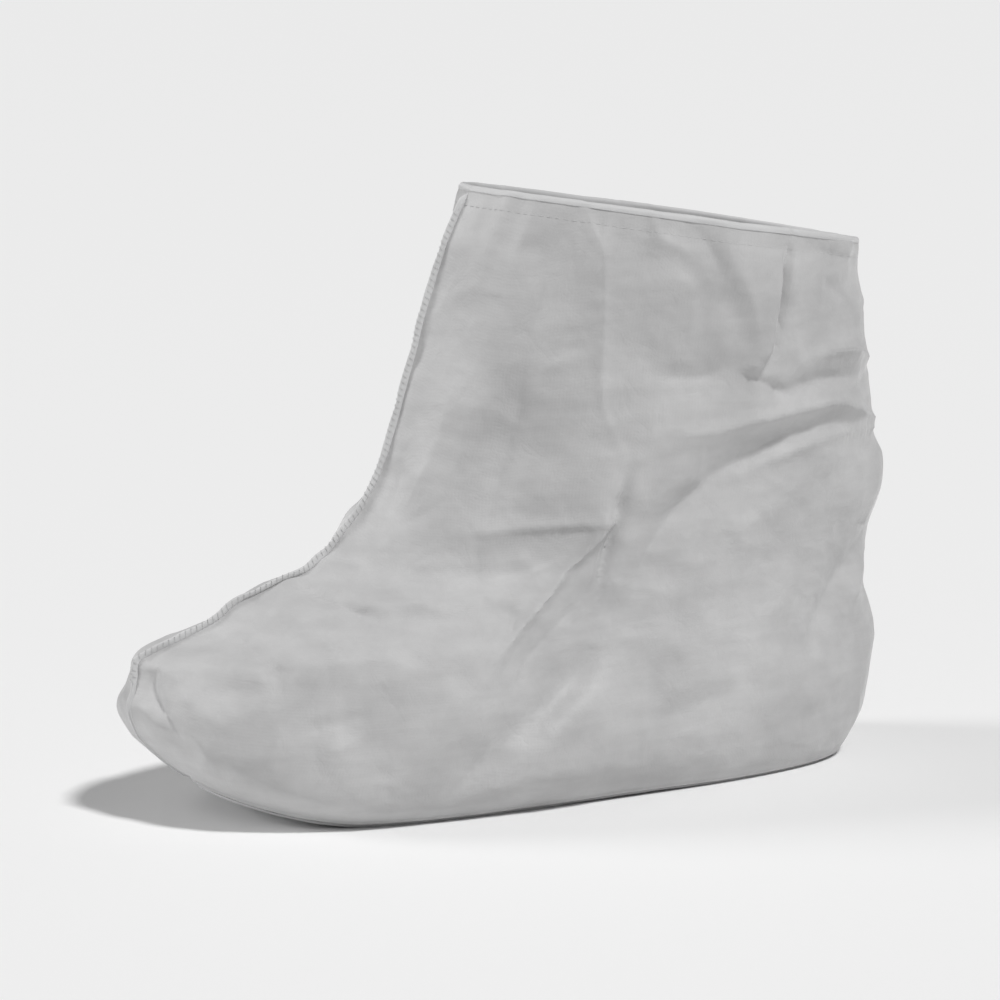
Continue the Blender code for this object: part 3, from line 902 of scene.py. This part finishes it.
def stitch_paths(wall, normals, sizes):
    """One short arched thread for each stitch of the line that holds the hem, all round it:
    the lift over the cloth is r sin(pi s) between the two holes."""
    line, out = at_depth(wall, normals, sizes.hem_depth - STITCH_MARGIN)
    length = lengths(np.roll(line, -1, axis=0) - line).sum()
    count = int(length / (STITCH_SPACING * sizes.stitch_length))
    share = np.linspace(0, 1, STITCH_POINTS)
    places = np.arange(count)[:, None] * length / count + share[None] * sizes.stitch_length
    lift = (STITCH_RISE * np.sin(np.pi * share) - STITCH_SINK) * sizes.thread
    return along_closed(line, places) + lift[None, :, None] * along_closed(out, places)


def stitch_radius(sizes):
    """A stitch's radius along it, full in the middle and thin at its two holes."""
    share = np.linspace(0, 1, STITCH_POINTS)
    swell = STITCH_END + (1 - STITCH_END) * np.sin(np.pi * share)
    return (sizes.thread / 2 * swell)[None]


def hem_surface(wall, normals, sizes):
    """The hem's profile carried round the rim: rim + out across the wall + up along it. The
    band's lower edge sways in and out as cos 31t and cos 44t."""
    rim, out = wall[-1], normals[-1]
    up = unit(rim - wall[UP_RING])
    profile = hem_profile(sizes)
    angle = np.linspace(0, 2 * np.pi, COLUMNS, endpoint=False)[:, None]
    depth_share = np.clip(-profile[:, 1] / sizes.hem_depth, 0, 1)[None]
    waver = sum(np.cos(count * angle + phase) for count, phase in HEM_SWAYS) / len(HEM_SWAYS)
    across = profile[None, :, 0] + HEM_SWAY * depth_share * (waver - 1)
    points = (rim[:, None] + across[..., None] * out[:, None]
              + profile[None, :, 1, None] * up[:, None])
    around, over = (lengths(np.roll(loop, -1, axis=0) - loop).cumsum()
                    for loop in (rim, profile))
    return points, np.stack(np.meshgrid(around, over, indexing="ij"), axis=-1)


def seam_feet(wall, normals, column):
    """Where the seam's two flanks meet the cloth: one column to each side, just over it."""
    return [wall[SEAM_ROWS, place % COLUMNS] + SEAM_LIFT * normals[SEAM_ROWS, place % COLUMNS]
            for place in (column - 1, column + 1)]


def seam_line(wall, normals, column):
    """The seam's foot on the wall, from over the lip to the hem's leg, its smoothed normals
    and its sideways directions."""
    line, out = wall[SEAM_ROWS, column], normals[SEAM_ROWS, column].copy()
    for _ in range(SEAM_ROUNDS):
        out[1:-1] = (out[:-2] + 2 * out[1:-1] + out[2:]) / 4
    out = unit(out)
    return line, out, unit(np.cross(np.gradient(line, axis=0), out))


def seam_fin(line, out, side, run, feet, sizes):
    """The seam's body: its flanks rise from the cloth in a hollow curve to a round crest, which
    leans and waves a little along its run as sin(run / length). It is low where it starts, at
    the toe or heel, and fades at both ends."""
    lean, swell = (sum(size * np.sin(run / length + phase) for size, length, phase in table)
                   for table in (SEAM_LEANS, SEAM_WAVES))
    tall = sizes.seam_height * (1 + swell)
    low = LOW_SHARE + (1 - LOW_SHARE) * ease((run - LOW_END) / LOW_RISE)
    ends = np.minimum(low, ease(run / FADE_START))
    ends = np.minimum(ends, ease((run[-1] - run) / FADE_END))
    flank = np.array(SEAM_FLANK)
    sideways = (flank[None, :, 0] * sizes.seam_width / 2 * (END_WIDTH + (1 - END_WIDTH) * ends)[:, None]
                + (lean * ends)[:, None] * flank[None, :, 1])
    tall *= END_HEIGHT + (1 - END_HEIGHT) * ends
    upwards = SEAM_LIFT + tall[:, None] * flank[None, :, 1]
    over = line[:, None] + sideways[..., None] * side[:, None] + upwards[..., None] * out[:, None]
    first, last = sorted(feet, key=lambda foot: ((foot - line) * side).sum())
    under = line - SEAM_LIFT * out
    points = np.concatenate([first[:, None], over, last[:, None], under[:, None]], axis=1)
    return points[:, ::-1], lean * ends


def overlock_path(line, out, side, run, lean, sizes):
    """One thread wound round the seam's edge: a flattened helix of a stitch's pitch."""
    pitch = LOOP_PITCH * sizes.stitch_length
    turns = int((run[-1] - OVERLOCK_START - OVERLOCK_END) / pitch)
    steps = turns * LOOP_POINTS
    place = OVERLOCK_START + np.linspace(0, turns * pitch, steps)
    phase = np.linspace(0, 2 * np.pi * turns, steps)
    on_line, on_out, on_side = (np.stack([np.interp(place, run, part[:, k]) for k in range(3)],
                                         axis=-1) for part in (line, out, side))
    half_width = sizes.seam_width / 2 + LOOP_SIDE * sizes.thread
    across = half_width * np.sign(np.cos(phase)) * np.abs(np.cos(phase)) ** LOOP_POWER
    above = 0.5 + 0.5 * np.sin(phase)
    shift = np.interp(place, run, lean)
    up = SEAM_LIFT + above * (sizes.seam_height + LOOP_TOP * sizes.thread)
    return on_line + (across + shift * above)[:, None] * on_side + up[:, None] * on_out


def sole_surface():
    """The sole's underside: straight lines across the inset outline, at the sole's height + a
    fold height |sum of waves|, which is cut off at the top."""
    ring = even_rings(section_table(), RINGS, COLUMNS)[0]
    plan = inset_plan(ring, SOLE_INSET)
    half = COLUMNS // 2
    right, left = plan[1:half], plan[:half:-1]
    share = np.linspace(0, 1, SOLE_COLUMNS)[None, :, None]
    flat = right[:, None] + share * (left - right)[:, None]
    chance = np.random.default_rng(CHANCE_SEED)
    places = np.concatenate([flat, np.zeros((*flat.shape[:2], 1))], axis=-1)
    folds = np.abs(waves(places.reshape(-1, 3), chance, *SOLE_WAVES))
    folds = np.clip(folds, 0, SOLE_FOLD_TOP).reshape(flat.shape[:2])
    return np.dstack([flat, sole_height(flat[..., 1]) + SOLE_FOLD * folds])


class COVER_OT_panels(Operator):
    """Sew the two side panels of cloth, with their creases, gathers and turned-in lip"""

    bl_idname = "boot_cover.add_panels"
    bl_label = "Side Panels"

    def execute(self, context):
        colors = context.scene.boot_cover_colors
        wall, normals = cloth_surface(context.scene.boot_cover_sizes)
        inner = wall - CLOTH * normals
        cloth = nonwoven("cover_cloth", colors.cloth_light, colors.cloth_dark)
        half = COLUMNS // 2
        spans = {"inner_panel": np.arange(half + 1),
                 "outer_panel": np.arange(half, COLUMNS + 1) % COLUMNS}
        for name, span in spans.items():
            panel = shell(name, wall[:, span], inner[:, span], cloth)
            finish_piece(panel, "cover_cloth", "upper")
        return {"FINISHED"}


class COVER_OT_hem(Operator):
    """Fold the elastic hem over the rim and stitch it down"""

    bl_idname = "boot_cover.add_hem"
    bl_label = "Collar Hem"

    def execute(self, context):
        sizes, colors = context.scene.boot_cover_sizes, context.scene.boot_cover_colors
        wall, normals = cloth_surface(sizes)
        points, uv = hem_surface(wall, normals, sizes)
        quads = grid_quads(*points.shape[:2], close_rows=True, close_columns=True)[:, ::-1]
        # The hem's lighter tone is painted light, for the light shining through its thin folded cloth.
        cloth = nonwoven("hem_cloth", colors.hem_tone_with_painted_light, shaded(colors.hem_tone_with_painted_light, HEM_SHADE),
                         crumple_depth=0.0003)
        hem = put_mesh("elastic_hem", points.reshape(-1, 3), quads, cloth, uv.reshape(-1, 2))
        finish_piece(hem, "hem_cloth", "collar_hem")

        stitches = tubes("hem_stitches", stitch_paths(wall, normals, sizes),
                         stitch_radius(sizes), thread_finish(colors.thread_tone))
        finish_piece(stitches, "hem_cloth")
        return {"FINISHED"}


class COVER_OT_seams(Operator):
    """Raise the front and back seams: two cloth edges pressed together and overlocked"""

    bl_idname = "boot_cover.add_seams"
    bl_label = "Seams"

    def execute(self, context):
        sizes, colors = context.scene.boot_cover_sizes, context.scene.boot_cover_colors
        wall, normals = cloth_surface(sizes)
        # The seams' lighter tone is painted light, for the light shining through their thin cloth
        # edges.
        cloth = nonwoven("seam_cloth", colors.hem_tone_with_painted_light, shaded(colors.hem_tone_with_painted_light, SEAM_SHADE),
                         crumple_depth=0.0003)
        thread = thread_finish(colors.thread_tone)
        for name, column in (("front_seam", 0), ("back_seam", COLUMNS // 2)):
            line, out, side = seam_line(wall, normals, column)
            run = run_along(line)
            feet = seam_feet(wall, normals, column)
            fin, lean = seam_fin(line, out, side, run, feet, sizes)
            quads = capped_quads(*fin.shape[:2])
            uv = np.stack(np.broadcast_arrays(run[:, None], np.linspace(0, SEAM_CLOTH, fin.shape[1])),
                          axis=-1).reshape(-1, 2)
            piece = put_mesh(name + "_edges", fin.reshape(-1, 3), quads, cloth, uv)
            finish_piece(piece, "seam_cloth", name)
            path = overlock_path(line, out, side, run, lean, sizes)
            loops = tubes(name + "_overlock", path[None], sizes.thread / 2, thread)
            finish_piece(loops, "seam_cloth")
        return {"FINISHED"}


class COVER_OT_sole(Operator):
    """Lay the soft sole sheet under the turned-in lip"""

    bl_idname = "boot_cover.add_sole"
    bl_label = "Sole"

    def execute(self, context):
        colors = context.scene.boot_cover_colors
        outside = sole_surface()
        inside = outside + np.array([0, 0, SOLE_CLOTH])
        cloth = nonwoven("sole_cloth", colors.sole_tone, shaded(colors.sole_tone, SOLE_SHADE),
                         emboss_depth=0.00009)
        sheet = shell("sole_sheet", outside, inside, cloth)
        finish_piece(sheet, "sole_cloth", "sole")
        return {"FINISHED"}


# The stage: the camera stands where the picture was taken from, measured from the cover
CAMERA_PLACE = Vector((-1.3009, 0.7063, 0.3624))
CAMERA_AIM = Vector((0.0006, 0.0052, 0.1079))
CAMERA_LENS = 142.6
SENSOR = 36.0
FLOOR_RADIUS = 14.0
FLOOR_SIDES = 96
WORLD_LIGHT = 0.20
BACKDROP_LIGHT = 0.92

# The soft lights: name, where it comes from, strength and spread in degrees
LIGHT_COLUMNS = ("name", "place", "power", "spread")
LIGHTS = (
    ("softbox", (-0.52, -0.15, 0.84), 2.30, 8),
    ("edge_light", (0.50, 0.82, 0.35), 1.40, 20),
)


class COVER_OT_stage(Operator):
    """Set the floor, the soft studio light and the camera"""

    bl_idname = "boot_cover.add_stage"
    bl_label = "Stage"

    def execute(self, context):
        scene = context.scene
        tone = scene.boot_cover_colors.floor_tone
        bpy.ops.mesh.primitive_circle_add(vertices=FLOOR_SIDES, radius=FLOOR_RADIUS,
                                          fill_type="NGON")
        floor = context.object
        floor.name = "floor"
        nodes = Nodes("floor")
        nodes.set(base_color=(*tone, 1), roughness=0.8)
        floor.data.materials.append(nodes.material)

        bpy.ops.mesh.primitive_uv_sphere_add(segments=FLOOR_SIDES // 2,
                                             ring_count=FLOOR_SIDES // 4, radius=FLOOR_RADIUS)
        backdrop = context.object
        backdrop.name = "backdrop"
        for kind in ("diffuse", "glossy", "transmission", "volume_scatter", "shadow"):
            setattr(backdrop, "visible_" + kind, False)
        glow = Nodes("backdrop")
        glow.set(base_color=(0, 0, 0, 1), emission_color=(1, 1, 1, 1))
        glow.set(emission_strength=BACKDROP_LIGHT, roughness=1.0)
        backdrop.data.materials.append(glow.material)

        for values in LIGHTS:
            row = dict(zip(LIGHT_COLUMNS, values))
            light = bpy.data.lights.new(row["name"], "SUN")
            light.energy = row["power"]
            light.angle = math.radians(row["spread"])
            lamp = bpy.data.objects.new(row["name"], light)
            lamp.rotation_euler = (-Vector(row["place"])).to_track_quat("-Z", "Y").to_euler()
            scene.collection.objects.link(lamp)

        world = bpy.data.worlds.new("studio")
        world.use_nodes = True
        background = world.node_tree.nodes["Background"]
        background.inputs["Color"].default_value = (1.0, 1.0, 1.0, 1)
        background.inputs["Strength"].default_value = WORLD_LIGHT
        scene.world = world
        scene.view_settings.view_transform = "Standard"

        camera = bpy.data.objects.new("camera", bpy.data.cameras.new("camera"))
        camera.data.lens = CAMERA_LENS
        camera.data.sensor_width = SENSOR
        camera.location = CAMERA_PLACE
        camera.rotation_euler = (CAMERA_AIM - CAMERA_PLACE).to_track_quat("-Z", "Y").to_euler()
        scene.collection.objects.link(camera)
        scene.camera = camera
        return {"FINISHED"}


class COVER_PT_pieces(Panel):
    """The cover's sizes and pieces"""

    bl_idname = "COVER_PT_pieces"
    bl_label = "Boot Cover"
    bl_space_type = "VIEW_3D"
    bl_region_type = "UI"
    bl_category = "Boot Cover"

    def draw(self, context):
        layout = self.layout
        for group in (context.scene.boot_cover_sizes, context.scene.boot_cover_colors):
            for key in group.__annotations__:
                layout.prop(group, key)
        for step in STEPS:
            layout.operator(step.bl_idname)


STEPS = (COVER_OT_panels, COVER_OT_hem, COVER_OT_seams, COVER_OT_sole, COVER_OT_stage)
CLASSES = (CoverSizes, CoverColors, *STEPS, COVER_PT_pieces)


def register():
    """Registers the classes and hangs the settings on the scene."""
    for one in CLASSES:
        bpy.utils.register_class(one)
    bpy.types.Scene.boot_cover_sizes = PointerProperty(type=CoverSizes)
    bpy.types.Scene.boot_cover_colors = PointerProperty(type=CoverColors)


def unregister():
    """Takes the settings and the classes away again."""
    del bpy.types.Scene.boot_cover_colors
    del bpy.types.Scene.boot_cover_sizes
    for one in reversed(CLASSES):
        bpy.utils.unregister_class(one)


def main():
    """Makes every piece in order."""
    register()
    bpy.ops.boot_cover.add_panels()
    bpy.ops.boot_cover.add_hem()
    bpy.ops.boot_cover.add_seams()
    bpy.ops.boot_cover.add_sole()
    bpy.ops.boot_cover.add_stage()


if __name__ == "__main__":
    main()
